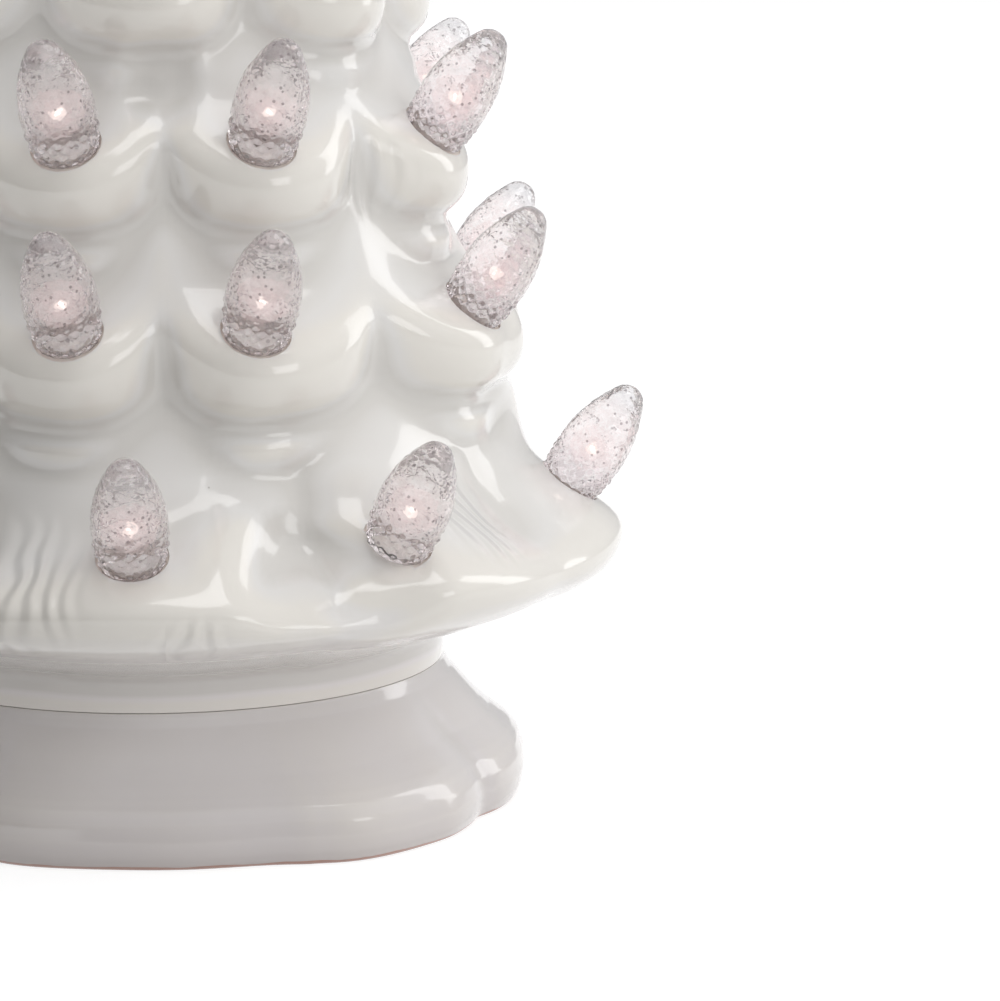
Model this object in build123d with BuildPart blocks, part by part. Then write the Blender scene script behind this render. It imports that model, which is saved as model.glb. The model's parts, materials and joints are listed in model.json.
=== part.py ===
# White glazed ceramic christmas tree with plug-in bulbs on a separate lit base.
# Millimetres, Z up, origin on the table under the middle of the base, front towards -Y.
import os
from math import cos, degrees, exp, log, pi, radians, sin, sqrt

from build123d import *

# Overall size of the ceramic tree
tree_radius = 74.5        # axis to the tip of the widest boughs
tree_top = 221.0          # flat top under the star
wall = 4.5                # cast ceramic wall
foot_overhang = 0.7       # the foot ring under the skirt stands out this far over the base's neck
top_wall = 10.0           # solid ceramic above the hollow

# Base
base_height = 21.6
base_radius = 56.9        # widest part of the foot
base_wall = 9.4           # at the table
neck_wall = 3.6           # beside the deck
base_lobe_depth = 3.0     # how far the valleys between the four lobes go in
base_crease_depth = 2.4   # narrow crease where two lobes meet
base_crease_width = 0.24
base_lobe_azimuth = 13.0
base_lean = 1.5           # the front lobe reaches this much further out
deck_thickness = 4.0
deck_hole_radius = 17.0
spigot_wall = 3.1
spigot_clearance = 0.5
spigot_height = 3.4

# Seat gap between pieces that rest on each other
seat_gap = 0.3

# Boughs
skirt_droop = 0.4         # the rim is this much higher between two boughs
bough_droop = 3.0
valley_softness = 0.2
tier_blend = 0.8          # soft join between one tier and the next
section_step = 2.4        # height between the sections of the shell
section_points = 60
base_section_points = 120

# Bulbs
bulb_radius = 5.6
bulb_length = 19.4        # seat to tip
bulb_collar_radius = 4.5
bulb_collar_height = 1.3
bulb_peg_radius = 2.55
bulb_peg_length = 7.5
bulb_elevation = 55.0     # degrees above level
bulb_seat_depth = 0.8
peg_clearance = 0.3
spot_face_clearance = 0.6 # round the bulb's body
spot_face_reach = 13.0
peg_hole_depth = 18.0

# Star
star_radius = 15.0
star_inner_radius = 6.8
star_thickness = 8.0
star_edge = 2.0
star_stem_radius = 2.6
star_collar_radius = 4.4
star_collar_height = 1.6
star_peg_length = 8.0

# Battery housing and bottom cover
plastic = 1.8
cover_floor = 2.2         # outside of the cover above the table
cover_edge_gap = 0.4
tray_clearance = 4.0      # between the tray and the ceramic
tray_rim = 1.3
side_room = 8.5           # beside the battery bay, before the switch and a boss
end_room = 3.0            # beyond the battery bay, before a boss
cell_radius = 5.25
cell_length = 44.5
cell_nub_radius = 1.9
cell_nub_length = 1.0
cell_pitch = 11.6
contact_thickness = 0.5
spring_radius = 3.4
spring_wire_radius = 0.35
boss_radius = 3.2
screw_radius = 1.2
screw_head_radius = 2.4
screw_head_height = 0.9
door_gap = 0.3
grip_count = 4
grip_pitch = 2.2

# Switch
switch_length = 13.0
switch_width = 6.4
switch_height = 5.0
switch_travel = 2.0
slider_length = 3.6
slider_width = 2.6
slider_stand_out = 1.0

# Light mast
post_flange_clearance = 2.0
post_radius = 5.0
post_bore_radius = 3.4
post_top = 40.0
post_head_radius = 9.5
board_thickness = 1.6
led_radius = 2.5
led_height = 8.0
led_circle_radius = 5.9
led_count = 5
dome_radius = 14.2
dome_wall = 1.2
dome_top = 66.0

# Worked-out heights and sizes
deck_underside = base_height - deck_thickness
foot_bottom = base_height + seat_gap
cover_top = cover_floor + plastic
tray_top = deck_underside - seat_gap
tray_plate_bottom = tray_top - 2.0
bay_bottom = cover_top + seat_gap
cell_height = bay_bottom + seat_gap + cell_radius
bay_width = 2 * cell_pitch + 2 * cell_radius + 2.9
bay_length = cell_length + 6.1
door_width = bay_width + 0.4
door_length = bay_length - 2.6
post_bottom = tray_top + seat_gap
post_flange_top = post_bottom + plastic
board_bottom = post_top + seat_gap
led_bottom = board_bottom + board_thickness + 0.1
boss_x = bay_width / 2 + side_room + boss_radius
boss_y = bay_length / 2 + end_room + boss_radius
boss_spots = [(-boss_x, 0.0), (0.0, boss_y), (0.0, -boss_y)]
switch_x = bay_width / 2 + side_room + switch_width / 2
tray_radius = boss_y + boss_radius + tray_rim
cavity_top_radius = tray_radius + tray_clearance
cavity_bottom_radius = base_radius - base_wall
neck_radius = cavity_top_radius + neck_wall
foot_radius = neck_radius + foot_overhang
foot_inner_radius = foot_radius - wall
spigot_outer_radius = foot_inner_radius - spigot_clearance
spigot_inner_radius = spigot_outer_radius - spigot_wall
post_flange_radius = deck_hole_radius - post_flange_clearance
peg_hole_radius = bulb_peg_radius + peg_clearance
spot_face_radius = bulb_radius + spot_face_clearance

# Tiers from the skirt up: share of the width, share of the height, bough size, azimuth of each bough
tiers = [
    (1.000, 0.190, 1.00, (-4, 31.5, 84, 131, 176, 221, 266, 311)),
    (0.785, 0.330, 1.00, (-14.5, 15, 64, 108, 147, 186, 225, 264, 305)),
    (0.691, 0.4525, 0.96, (-16.5, 19, 65, 118, 160, 203, 248, 297)),
    (0.590, 0.570, 0.90, (-1, 42, 98, 150, 202, 254, 306)),
    (0.483, 0.681, 0.84, (-24, 46, 118, 190, 262)),
    (0.369, 0.785, 0.76, (12, 102, 196, 284)),
    (0.255, 0.880, 0.66, (-20, 98, 222)),
]

# Bough profiles: height over the tip, then how far in from the tip the glaze lies
crest_profile = [(-26, 30), (-20, 18.5), (-17, 10.5), (-15, 6.6), (-13, 4.4), (-10, 2.9), (-7.5, 2.5), (-5, 3.1),
                 (-3.2, 2.9), (-1.4, 1.0), (0.6, 0), (3, 0.3), (5.5, 2.6), (8, 5.8), (11, 8.2), (18, 11), (28, 14.5), (60, 27)]
valley_profile = [(-26, 30), (-19, 18), (-15, 13.2), (-10, 10.4), (-5, 8.8), (0, 7.6), (5, 7.4),
                  (9, 8.4), (12, 9.4), (18, 11.2), (28, 14.5), (60, 27)]
skirt_crest_profile = [(-14, 46), (-9, 30), (-7, 19), (-5.4, 10), (-4, 4.6), (-2.4, 1.7), (-1, 0.3), (0.3, 0),
                       (2, 1.0), (4, 3.4), (6.5, 7.2), (9, 11.0), (12, 14.6), (16, 17.8), (20, 20.6), (28, 24.5), (60, 38)]
skirt_valley_profile = [(-14, 46), (-9, 30), (-7, 19.2), (-5.4, 10.6), (-4, 5.5), (-2.4, 2.9), (-0.8, 2.3), (1.2, 3.2),
                        (3.4, 6.0), (6, 9.4), (9, 13.2), (12, 16.4), (16, 19.4), (20, 21.8), (28, 25), (60, 38)]
bulb_seat_over_tip = 7.2
skirt_seat_over_tip = 7.6

# Base: share of its height, then share of the way in from its widest radius to the neck, then strength of the lobes
base_profile = [(0.0, 0.075), (0.07, 0.03), (0.21, 0.0), (0.37, 0.07), (0.52, 0.29), (0.67, 0.53),
                (0.82, 0.75), (0.92, 0.885), (1.0, 1.0)]
base_lobe_fade = [(0.0, 1.0), (0.21, 1.0), (0.37, 0.95), (0.52, 0.75), (0.67, 0.5), (0.82, 0.25), (0.9, 0.12), (1.0, 0.0)]


# Smooth curve through a list of points, straight beyond both ends
def smooth_curve(points, x):
    last = len(points) - 1
    i = 0
    while i < last - 1 and x > points[i + 1][0]:
        i += 1
    (x0, y0), (x1, y1) = points[i], points[i + 1]
    width = x1 - x0
    u = (x - x0) / width
    if u < 0 or u > 1:
        return y0 + (y1 - y0) * u
    before, after = points[max(i - 1, 0)], points[min(i + 2, last)]
    slope0 = (y1 - before[1]) / (x1 - before[0])
    slope1 = (after[1] - y0) / (after[0] - x0)
    ends = (1 + 2 * u) * (1 - u) ** 2 * y0 + u * u * (3 - 2 * u) * y1
    return ends + u * (1 - u) ** 2 * width * slope0 + u * u * (u - 1) * width * slope1


def soft_max(a, b, blend):
    top = max(a, b)
    return top + blend * log(exp((a - top) / blend) + exp((b - top) / blend))


# Azimuth runs from the front (-Y) towards +X
def polar(radius, azimuth):
    return (radius * sin(azimuth), -radius * cos(azimuth))


# Whole on a bough, half way between two
def bough_phase(azimuth, azimuths):
    stops = [spot - azimuths[0] for spot in azimuths] + [360]
    turn = (degrees(azimuth) - azimuths[0]) % 360
    i = max(number for number in range(len(azimuths)) if stops[number] <= turn)
    return i + (turn - stops[i]) / (stops[i + 1] - stops[i])


# One in the middle of a bough, zero in the valley between two
def bough_weight(azimuth, azimuths):
    wave = cos(pi * bough_phase(azimuth, azimuths))
    soft = (sqrt(wave ** 2 + valley_softness ** 2) - valley_softness) / (sqrt(1 + valley_softness ** 2) - valley_softness)
    return soft ** 0.85


def tier_radius(azimuth, height, number):
    width_share, height_share, size, azimuths = tiers[number]
    weight = bough_weight(azimuth, azimuths)
    crest, valley, droop = crest_profile, valley_profile, bough_droop
    if number == 0:
        crest, valley, droop = skirt_crest_profile, skirt_valley_profile, skirt_droop
    over_tip = (height - height_share * tree_top) / size - droop * (1 - weight)
    inset = weight * smooth_curve(crest, over_tip) + (1 - weight) * smooth_curve(valley, over_tip)
    return width_share * tree_radius - size * inset


def tree_surface(azimuth, height):
    radius = tier_radius(azimuth, height, 0)
    for number in range(1, len(tiers)):
        radius = soft_max(radius, tier_radius(azimuth, height, number), tier_blend)
    return max(radius, 3.0)


def tree_hollow(azimuth, height):
    around = [tree_surface(azimuth, height + step) for step in (-wall, 0, wall)]
    return max(min(around) - wall, 2.0)


def base_surface(azimuth, height):
    share = height / base_height
    turn = azimuth - radians(base_lobe_azimuth)
    wave = sqrt(cos(2 * turn) ** 2 + 0.004)
    crease = base_crease_depth * exp(-wave / base_crease_width)
    lobe = base_lobe_depth * (wave - 1) - crease + base_lean * cos(turn)
    inset = smooth_curve(base_profile, share) * (base_radius - neck_radius)
    return base_radius - inset + lobe * smooth_curve(base_lobe_fade, share)


# Closed smooth outline of a surface at one height
def outline(surface, height, count=section_points):
    turn = [2 * pi * i / count for i in range(count)]
    points = [Vector(*polar(surface(azimuth, height), azimuth)) for azimuth in turn]
    stations = [i / count for i in range(count + 1)]
    return Edge.make_spline(points, periodic=True, parameters=stations)


def levels(bottom, top):
    count = max(2, round((top - bottom) / section_step))
    return [bottom + (top - bottom) * i / count for i in range(count + 1)]


# Where each bulb sits: name, seat plane across its axis, side direction
def bulb_seats():
    seats = []
    for number, (_, height_share, size, azimuths) in enumerate(tiers):
        over_tip = skirt_seat_over_tip if number == 0 else bulb_seat_over_tip
        height = height_share * tree_top + size * over_tip
        for i, spot_azimuth in enumerate(azimuths):
            azimuth = radians(spot_azimuth)
            level_part = cos(radians(bulb_elevation))
            axis = Vector(*polar(level_part, azimuth), sin(radians(bulb_elevation)))
            side = Vector(cos(azimuth), sin(azimuth), 0)
            spot = Vector(*polar(tree_surface(azimuth, height), azimuth), height) - axis * bulb_seat_depth
            seats.append((f"bulb_tier{number + 1}_{i + 1}", Plane(spot, x_dir=side, z_dir=axis), side))
    return seats


def save(part, name):
    part.label = name
    export_step(part, f"parts/{name}.step")
    box = part.bounding_box().size
    print(f"{name}: {box.X:.1f} x {box.Y:.1f} x {box.Z:.1f} mm, {len(part.solids())} solid(s)")


os.makedirs("parts", exist_ok=True)
seats = bulb_seats()
seat_spots = [Location(plane) for _, plane, _ in seats]
cut_from = (Align.CENTER, Align.CENTER, Align.MIN)
cut_back = (Align.CENTER, Align.CENTER, Align.MAX)

# Hollow inside of the tree
hollow_bottom = foot_bottom + 16.5
with BuildPart() as hollow:
    for height in levels(hollow_bottom, tree_top - top_wall):
        with BuildSketch(Plane.XY.offset(height)):
            with BuildLine():
                add(outline(tree_hollow, height))
            make_face()
    loft(ruled=True)

# Tree shell: boughs, foot ring, hollow, one drilled and spot-faced hole per bulb, star socket
skirt_bottom = tiers[0][1] * tree_top - 10.6
foot_top = skirt_bottom + 3.4
with BuildPart() as tree_shell:
    for height in levels(skirt_bottom, tree_top):
        with BuildSketch(Plane.XY.offset(height)):
            with BuildLine():
                add(outline(tree_surface, height))
            make_face()
    loft(ruled=True)
    with BuildSketch(Plane.XZ):
        with BuildLine():
            Polyline((0, foot_bottom), (foot_radius - 2.0, foot_bottom), (foot_radius - 0.8, foot_bottom + 0.8),
                     (foot_radius + 0.2, foot_bottom + 2.3), (foot_radius + 0.5, foot_bottom + 4.6),
                     (foot_radius + 0.2, foot_bottom + 8.0), (foot_radius - 0.3, foot_top), (0, foot_top), close=True)
        make_face()
    revolve(axis=Axis.Z)
    add(hollow.part, mode=Mode.SUBTRACT)
    with Locations((0, 0, foot_bottom - 1)):
        Cylinder(foot_inner_radius, hollow_bottom - foot_bottom + 2.5, align=cut_from, mode=Mode.SUBTRACT)
    with Locations(*seat_spots):
        Cylinder(spot_face_radius, spot_face_reach, align=cut_from, mode=Mode.SUBTRACT)
        Cylinder(peg_hole_radius, peg_hole_depth, align=cut_back, mode=Mode.SUBTRACT)
    with Locations((0, 0, tree_top + 1)):
        Cylinder(star_stem_radius + peg_clearance, top_wall + 4, align=cut_back, mode=Mode.SUBTRACT)
save(tree_shell.part, "tree_shell")

# Base shell: lobed foot, hollow underneath, light hole and a spigot that centres the tree
with BuildPart() as base_shell:
    for height in levels(0, base_height):
        with BuildSketch(Plane.XY.offset(height)):
            with BuildLine():
                add(outline(base_surface, height, base_section_points))
            make_face()
    loft(ruled=True)
    with BuildSketch(Plane.XY.offset(base_height)):
        Circle(spigot_outer_radius)
        Circle(spigot_inner_radius, mode=Mode.SUBTRACT)
    extrude(amount=spigot_height)
    with BuildSketch(Plane.XZ):
        with BuildLine():
            Polyline((0, -1), (cavity_bottom_radius, -1), (cavity_bottom_radius, 0.5),
                     (cavity_top_radius, deck_underside), (0, deck_underside), close=True)
        make_face()
    revolve(axis=Axis.Z, mode=Mode.SUBTRACT)
    with BuildSketch(Plane.XY):
        Circle(deck_hole_radius)
    extrude(amount=base_height + 1, mode=Mode.SUBTRACT)
save(base_shell.part, "base_shell")

# Bulbs: peg, collar and a flame-shaped clear body, all turned about the bulb's own axis
for name, seat, side in seats:
    with BuildPart() as bulb:
        with BuildSketch(Plane(seat.origin, x_dir=side, z_dir=side.cross(seat.z_dir))):
            body_bottom = seat_gap + bulb_collar_height
            with BuildLine():
                Polyline((0, bulb_length), (0, -bulb_peg_length), (bulb_peg_radius - 0.5, -bulb_peg_length),
                         (bulb_peg_radius, 0.6 - bulb_peg_length), (bulb_peg_radius, seat_gap),
                         (bulb_collar_radius, seat_gap), (bulb_collar_radius, body_bottom))
                Spline((bulb_collar_radius, body_bottom), (bulb_radius, 0.37 * bulb_length),
                       (0.86 * bulb_radius, 0.64 * bulb_length), (0.5 * bulb_radius, 0.90 * bulb_length),
                       (0, bulb_length), tangents=((0.55, 1), (-1, 0)))
            make_face()
        revolve(axis=Axis(seat.origin, seat.z_dir))
    save(bulb.part, name)

# Star topper: faceted star on a stem with a collar and a peg
star_middle = tree_top + seat_gap + star_collar_height + star_inner_radius + 8.4
star_tips = []
for i in range(10):
    reach = star_radius if i % 2 == 0 else star_inner_radius
    star_tips.append((reach * sin(i * pi / 5), reach * cos(i * pi / 5)))
with BuildPart() as star_topper:
    front = Plane((0, 0, star_middle), x_dir=(1, 0, 0), z_dir=(0, -1, 0))
    with BuildSketch(front.offset(-star_edge / 2)):
        with BuildLine():
            Polyline(*star_tips, close=True)
        make_face()
    extrude(amount=star_edge)
    for way in (1, -1):
        for share, depth in ((1.0, star_edge / 2), (0.12, star_thickness / 2)):
            with BuildSketch(front.offset(way * depth)):
                with BuildLine():
                    Polyline(*[(share * x, share * y) for x, y in star_tips], close=True)
                make_face()
        loft(ruled=True)
    with Locations((0, 0, tree_top - star_peg_length)):
        Cylinder(star_stem_radius, star_middle - tree_top + star_peg_length, align=cut_from)
    with Locations((0, 0, tree_top + seat_gap)):
        Cylinder(star_collar_radius, star_collar_height, align=cut_from)
save(star_topper.part, "star_topper")

# Battery tray: top plate glued under the deck, bay walls and screw bosses
with BuildPart() as battery_tray:
    with BuildSketch(Plane.XY.offset(tray_plate_bottom)):
        Circle(tray_radius)
    extrude(amount=tray_top - tray_plate_bottom)
    with BuildSketch(Plane.XY.offset(bay_bottom)):
        Rectangle(bay_width + 2 * plastic, bay_length + 2 * plastic)
        Rectangle(bay_width, bay_length, mode=Mode.SUBTRACT)
        with Locations(*boss_spots):
            Circle(boss_radius)
    extrude(amount=tray_plate_bottom - bay_bottom)
    with BuildSketch(Plane.XY.offset(bay_bottom)):
        with Locations(*boss_spots):
            Circle(screw_radius + 0.1)
    extrude(amount=tray_plate_bottom - bay_bottom, mode=Mode.SUBTRACT)
    with BuildSketch(Plane.XY.offset(tray_plate_bottom)):
        Circle(post_bore_radius)
    extrude(amount=tray_top - tray_plate_bottom, mode=Mode.SUBTRACT)
save(battery_tray.part, "battery_tray")

# Bottom cover with the door opening, the switch slot and sunk screw holes
cover_radius = cavity_bottom_radius - (cavity_bottom_radius - cavity_top_radius) * cover_top / deck_underside
with BuildPart() as bottom_cover:
    with BuildSketch(Plane.XY.offset(cover_floor)):
        Circle(cover_radius - cover_edge_gap)
        Rectangle(door_width + 2 * door_gap, door_length + 2 * door_gap, mode=Mode.SUBTRACT)
        with Locations((switch_x, 0)):
            Rectangle(slider_width + 0.8, slider_length + 2 * switch_travel + 0.8, mode=Mode.SUBTRACT)
        with Locations(*boss_spots):
            Circle(screw_radius + 0.3, mode=Mode.SUBTRACT)
    extrude(amount=plastic)
    with BuildSketch(Plane.XY.offset(cover_floor)):
        with Locations(*boss_spots):
            Circle(screw_head_radius + 0.3)
    extrude(amount=screw_head_height, mode=Mode.SUBTRACT)
save(bottom_cover.part, "bottom_cover")

# Battery door with finger grooves near its free end
with BuildPart() as battery_door:
    with BuildSketch(Plane.XY.offset(cover_floor)):
        Rectangle(door_width, door_length)
    extrude(amount=plastic)
    with BuildSketch(Plane.XY.offset(cover_floor)):
        with Locations((0, 5 - door_length / 2)):
            with GridLocations(1, grip_pitch, 1, grip_count):
                Rectangle(0.45 * door_width, 0.5 * grip_pitch)
    extrude(amount=0.5, mode=Mode.SUBTRACT)
save(battery_door.part, "battery_door")

# Three battery cells side by side, the middle one turned round
body_half = (cell_length - cell_nub_length) / 2
with BuildPart() as battery_cells:
    for i in (-1, 0, 1):
        way = -1 if i == 0 else 1
        middle = (i * cell_pitch, -0.3 * way, cell_height)
        with BuildSketch(Plane(middle, x_dir=(1, 0, 0), z_dir=(0, way, 0)).offset(-body_half)):
            Circle(cell_radius)
        extrude(amount=2 * body_half)
        with BuildSketch(Plane(middle, x_dir=(1, 0, 0), z_dir=(0, way, 0)).offset(body_half)):
            Circle(cell_nub_radius)
        extrude(amount=cell_nub_length)
save(battery_cells.part, "battery_cells")

# Contact plates at both ends of the bay
with BuildPart() as contact_plates:
    for end in (-1, 1):
        for i in (-1, 0, 1):
            with Locations((i * cell_pitch, end * (bay_length - contact_thickness) / 2, cell_height)):
                Box(8.0, contact_thickness, 8.0)
save(contact_plates.part, "contact_plates")

# Coil springs behind the flat end of each cell
spring_room = bay_length / 2 - contact_thickness - body_half - 0.3
with BuildPart() as contact_springs:
    for i in (-1, 0, 1):
        way = -1 if i == 0 else 1
        foot = Plane((i * cell_pitch, -way * (bay_length / 2 - contact_thickness), cell_height),
                     x_dir=(1, 0, 0), z_dir=(0, way, 0))
        run = spring_room - 2 * spring_wire_radius - 0.2
        coil = Location(foot.offset(spring_wire_radius + 0.1)) * Helix(run / 3, run, spring_radius, cone_angle=0)
        with BuildSketch(Plane(coil @ 0, z_dir=coil % 0)):
            Circle(spring_wire_radius)
        sweep(path=coil, is_frenet=True)
save(contact_springs.part, "contact_springs")

# Cover screws
with BuildPart() as cover_screws:
    head_bottom = cover_floor + 0.1
    with BuildSketch(Plane.XY.offset(head_bottom)):
        with Locations(*boss_spots):
            Circle(screw_head_radius)
    extrude(amount=screw_head_height - 0.1)
    with BuildSketch(Plane.XY.offset(head_bottom)):
        with Locations(*boss_spots):
            Circle(screw_radius)
    extrude(amount=plastic + 6.5)
    with BuildSketch(Plane.XY.offset(head_bottom)):
        with Locations(*boss_spots):
            Rectangle(2.6, 0.6)
            Rectangle(0.6, 2.6)
    extrude(amount=0.5, mode=Mode.SUBTRACT)
save(cover_screws.part, "cover_screws")

# Slide switch: body on the inside of the cover, slider through the slot
with BuildPart() as switch_body:
    with BuildSketch(Plane.XY.offset(cover_top + 0.1)):
        with Locations((switch_x, 0)):
            Rectangle(switch_width, switch_length)
    extrude(amount=switch_height)
    with BuildSketch(Plane.XY.offset(cover_top + 0.1)):
        with Locations((switch_x, 0)):
            Rectangle(slider_width + 0.8, slider_length + 2 * switch_travel + 0.8)
    extrude(amount=1.6, mode=Mode.SUBTRACT)
save(switch_body.part, "switch_body")

with BuildPart() as switch_slider:
    slider_bottom = cover_floor - slider_stand_out
    with BuildSketch(Plane.XY.offset(slider_bottom)):
        with Locations((switch_x, 0)):
            Rectangle(slider_width, slider_length)
    extrude(amount=slider_stand_out + plastic + 1.4)
    with BuildSketch(Plane.XY.offset(slider_bottom)):
        with Locations((switch_x, 0)):
            with GridLocations(1, 1.2, 1, 3):
                Rectangle(slider_width, 0.5)
    extrude(amount=0.4, mode=Mode.SUBTRACT)
save(switch_slider.part, "switch_slider")

# Light post on the battery tray, up through the hole in the deck
with BuildPart() as light_post:
    with BuildSketch(Plane.XZ):
        with BuildLine():
            Polyline((post_bore_radius, post_bottom), (post_flange_radius, post_bottom),
                     (post_flange_radius, post_flange_top), (post_radius + 1.5, post_flange_top),
                     (post_radius, post_flange_top + 2), (post_radius, post_top - 4),
                     (post_head_radius, post_top - 1.6), (post_head_radius, post_top),
                     (post_bore_radius, post_top), close=True)
        make_face()
    revolve(axis=Axis.Z)
save(light_post.part, "light_post")

# Round light board on the post
with BuildPart() as led_board:
    with BuildSketch(Plane.XY.offset(board_bottom)):
        Circle(post_head_radius)
    extrude(amount=board_thickness)
save(led_board.part, "led_board")

# Round-nosed lamps on the board
with BuildPart() as leds:
    with PolarLocations(led_circle_radius, led_count):
        with Locations((0, 0, led_bottom)):
            Cylinder(led_radius + 0.4, 1.0, align=cut_from)
            Cylinder(led_radius, led_height - led_radius, align=cut_from)
        with Locations((0, 0, led_bottom + led_height - led_radius)):
            Sphere(led_radius)
save(leds.part, "leds")

# Frosted dome over the lamps
dome_bottom = post_flange_top + seat_gap
with BuildPart() as diffuser_dome:
    with BuildSketch(Plane.XZ):
        with BuildLine():
            shoulder = dome_top - dome_radius
            inner = dome_radius - dome_wall
            Line((inner, dome_bottom), (dome_radius, dome_bottom))
            Line((dome_radius, dome_bottom), (dome_radius, shoulder))
            CenterArc((0, shoulder), dome_radius, 0, 90)
            Line((0, dome_top), (0, dome_top - dome_wall))
            CenterArc((0, shoulder), inner, 0, 90)
            Line((inner, shoulder), (inner, dome_bottom))
        make_face()
    revolve(axis=Axis.Z)
save(diffuser_dome.part, "diffuser_dome")
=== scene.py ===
import json
from math import cos, pi, radians, sin

import bmesh
import bpy
from mathutils import Matrix, Vector


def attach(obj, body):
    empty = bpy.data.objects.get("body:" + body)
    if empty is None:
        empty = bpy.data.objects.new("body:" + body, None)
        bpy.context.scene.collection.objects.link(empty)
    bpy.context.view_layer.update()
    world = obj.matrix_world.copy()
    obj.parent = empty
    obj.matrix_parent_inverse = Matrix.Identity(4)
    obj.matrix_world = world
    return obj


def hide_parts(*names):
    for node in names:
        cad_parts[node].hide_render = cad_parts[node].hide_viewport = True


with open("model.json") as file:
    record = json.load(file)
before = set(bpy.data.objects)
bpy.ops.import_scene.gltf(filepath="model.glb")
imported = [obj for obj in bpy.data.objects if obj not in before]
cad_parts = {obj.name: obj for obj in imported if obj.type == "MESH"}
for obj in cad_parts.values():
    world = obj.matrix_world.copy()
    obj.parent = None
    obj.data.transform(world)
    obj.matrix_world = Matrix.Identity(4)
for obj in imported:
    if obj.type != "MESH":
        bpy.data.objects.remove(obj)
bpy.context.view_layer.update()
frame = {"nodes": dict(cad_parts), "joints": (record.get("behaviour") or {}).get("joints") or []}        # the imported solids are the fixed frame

scene = bpy.context.scene
mm = 0.001
print("frame loaded", len(frame["nodes"]), "nodes")


# sRGB hex to the linear values that the shaders want
def linear(hexColour):
    values = [int(hexColour[i:i + 2], 16) / 255 for i in (1, 3, 5)]
    return tuple(v / 12.92 if v <= 0.04045 else ((v + 0.055) / 1.055) ** 2.4 for v in values) + (1.0,)


# what goes into a node: another node or its socket is linked, any other value is set
def setNode(tree, node, values):
    for key, value in values.items():
        value = value.outputs[0] if isinstance(value, bpy.types.Node) else value
        if isinstance(value, bpy.types.NodeSocket):
            tree.links.new(value, node.inputs[key])
        elif isinstance(key, str) and hasattr(node, key):
            setattr(node, key, value)
        else:
            node.inputs[key].default_value = value
    return node


# one node with its settings and links
def addNode(tree, kind, values={}):
    return setNode(tree, tree.nodes.new(kind), values)


def addObject(name, data):
    thing = bpy.data.objects.new(name, data)
    scene.collection.objects.link(thing)
    return thing


# puts a camera or a lamp at its place, looking at its aim
def aimAt(thing, place, aim):
    thing.location = place
    thing.rotation_euler = (Vector(aim) - Vector(place)).to_track_quat("-Z", "Y").to_euler()


def addPiece(name, mesh, body, replaces):
    piece = addObject(name, mesh)
    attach(piece, body)
    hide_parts(replaces)


# a new material, its shader and the place on the piece that its patterns follow
def startMaterial(name):
    material = bpy.data.materials.new(name)
    material.use_nodes = True
    tree = material.node_tree
    place = addNode(tree, "ShaderNodeTexCoord").outputs["Object"]
    return material, tree, tree.nodes["Principled BSDF"], place


# a geometry tree, what is given to it and its result, from the names of its sockets for each kind of value
def newTree(name, inputs, outputs):
    tree = bpy.data.node_groups.new(name, "GeometryNodeTree")
    for side, sockets in (("INPUT", inputs), ("OUTPUT", outputs)):
        for kind, names in sockets.items():
            for socketName in names:
                tree.interface.new_socket(name=socketName, in_out=side, socket_type="NodeSocket" + kind)
    given = {socket.name: socket for socket in addNode(tree, "NodeGroupInput").outputs}
    return tree, given, addNode(tree, "NodeGroupOutput")


# points of a profile put into a curve node, scaled to the 0 to 1 box that it works in
def fillCurve(node, points, xRange, yRange, sharp=False):
    curve = node.mapping.curves[0]
    node.mapping.extend = "EXTRAPOLATED"
    while len(curve.points) < len(points):
        curve.points.new(0.5, 0.5)
    for point, (x, y) in zip(curve.points, points):
        point.location = ((x - xRange[0]) / (xRange[1] - xRange[0]),
                          (y - yRange[0]) / (yRange[1] - yRange[0]))
        point.handle_type = "VECTOR" if sharp else "AUTO"
    node.mapping.update()
    return node


# the height of a drawn profile over a share of its width
def profile(tree, share, points, xRange, yRange, sharp=True):
    curve = addNode(tree, "ShaderNodeFloatCurve", {"Value": share})
    fillCurve(curve, points, xRange, yRange, sharp)
    return addNode(tree, "ShaderNodeMath", {
        "operation": "MULTIPLY_ADD", 0: curve, 1: yRange[1] - yRange[0], 2: yRange[0]})


# a flat sheet of points, with each one's azimuth in radians and its share along the outline
def startSheet(tree, given):
    sheet = addNode(tree, "GeometryNodeMeshGrid", {
        "Size X": 1.0, "Size Y": 1.0, "Vertices X": given["pointsRound"],
        "Vertices Y": given["pointsAlong"]})
    spot = addNode(tree, "ShaderNodeSeparateXYZ", {0: addNode(tree, "GeometryNodeInputPosition")})
    azimuth = addNode(tree, "ShaderNodeMath", {"operation": "MULTIPLY", 0: spot.outputs[0], 1: 2 * pi})
    along = addNode(tree, "ShaderNodeMath", {"operation": "ADD", 0: spot.outputs[1], 1: 0.5})
    return sheet, azimuth, along


# a spot in mm from its azimuth, radius and height
def roundSpot(tree, azimuth, radius, height):
    spot = addNode(tree, "ShaderNodeCombineXYZ", {2: height})
    for socket, wave in ((0, "SINE"), (1, "COSINE")):
        turn = addNode(tree, "ShaderNodeMath", {"operation": wave, 0: azimuth})
        reach = addNode(tree, "ShaderNodeMath", {"operation": "MULTIPLY", 0: turn, 1: radius})
        setNode(tree, spot, {socket: reach})
    return spot


# the size of a wave, with the sharp turn at nought rounded off
def softSize(tree, wave, softness):
    square = addNode(tree, "ShaderNodeMath", {"operation": "MULTIPLY", 0: wave, 1: wave})
    lifted = addNode(tree, "ShaderNodeMath", {"operation": "ADD", 0: square, 1: softness})
    return addNode(tree, "ShaderNodeMath", {"operation": "SQRT", 0: lifted})


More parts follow.
